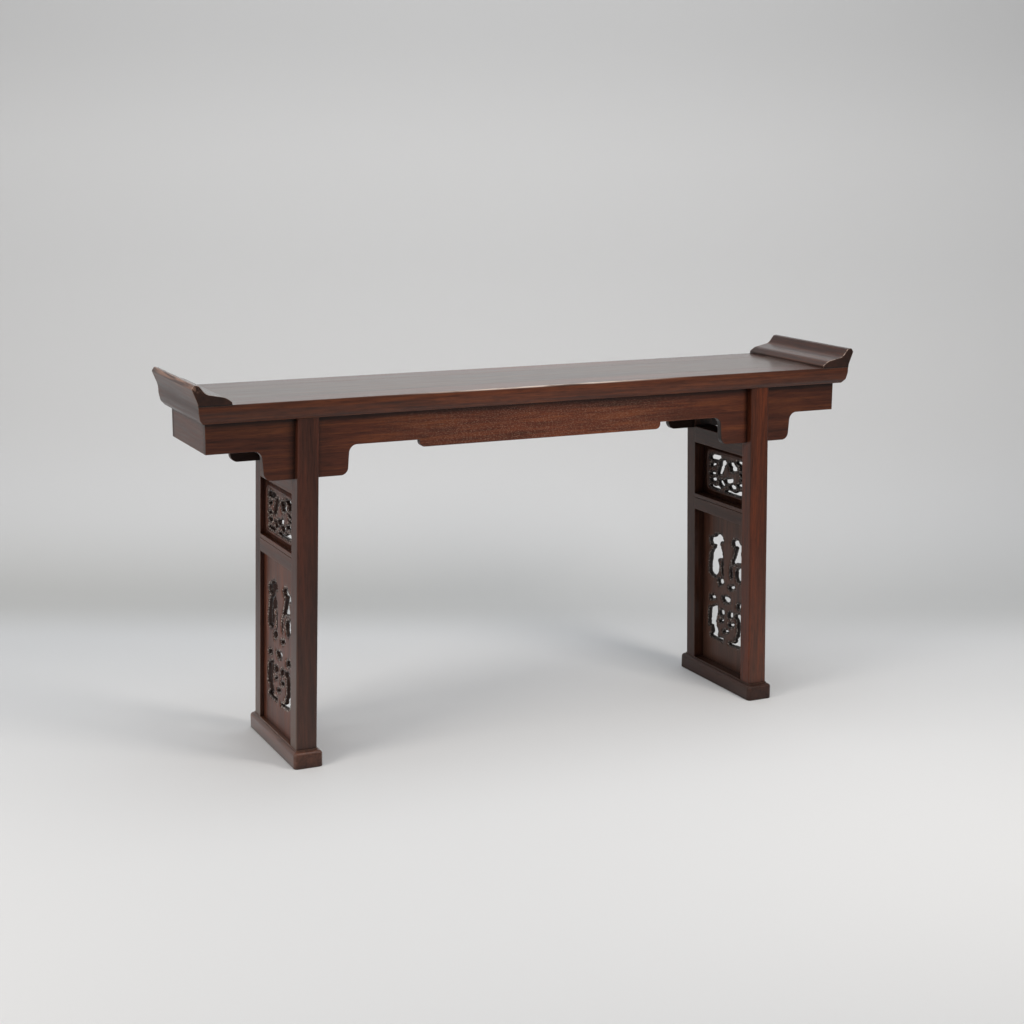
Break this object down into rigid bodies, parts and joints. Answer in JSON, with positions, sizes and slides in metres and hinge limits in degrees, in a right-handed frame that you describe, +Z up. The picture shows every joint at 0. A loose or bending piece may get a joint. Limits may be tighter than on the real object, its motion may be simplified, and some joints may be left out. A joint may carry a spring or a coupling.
{
  "type": "altar table",
  "caption": "Long narrow recessed-leg altar table with everted end flanges, spandrelled aprons, splayed trestles with carved openwork panels, and shoe feet.",
  "frame": {"origin": "on the floor under the middle of the table", "axes": "+X along the table to its right end, +Y to the back, +Z up"},
  "size_m": [1.7308, 0.3466, 0.9069],
  "materials": {
    "top_wood": "satin lacquer",
    "apron_wood": "satin lacquer",
    "leg_wood": "satin lacquer",
    "carved_wood": "satin lacquer",
    "inner_wood": "oiled"
  },
  "bodies": {
    "root": {"apron_back": "apron_wood", "apron_end_left": "apron_wood", "apron_end_right": "apron_wood", "apron_front": "apron_wood", "foot_left": "leg_wood", "foot_right": "leg_wood", "leg_back_left": "leg_wood", "leg_back_right": "leg_wood", "leg_front_left": "leg_wood", "leg_front_right": "leg_wood", "lower_panel_left": "carved_wood", "lower_panel_right": "carved_wood", "top_batten_left": "inner_wood", "top_batten_middle": "inner_wood", "top_batten_right": "inner_wood", "top_board": "top_wood", "top_end_left": "top_wood", "top_end_right": "top_wood", "top_rail_back": "top_wood", "top_rail_front": "top_wood", "trestle_mid_rail_left": "leg_wood", "trestle_mid_rail_right": "leg_wood", "trestle_top_rail_left": "leg_wood", "trestle_top_rail_right": "leg_wood", "upper_panel_left": "carved_wood", "upper_panel_right": "carved_wood"}
  },
  "joints": []
}
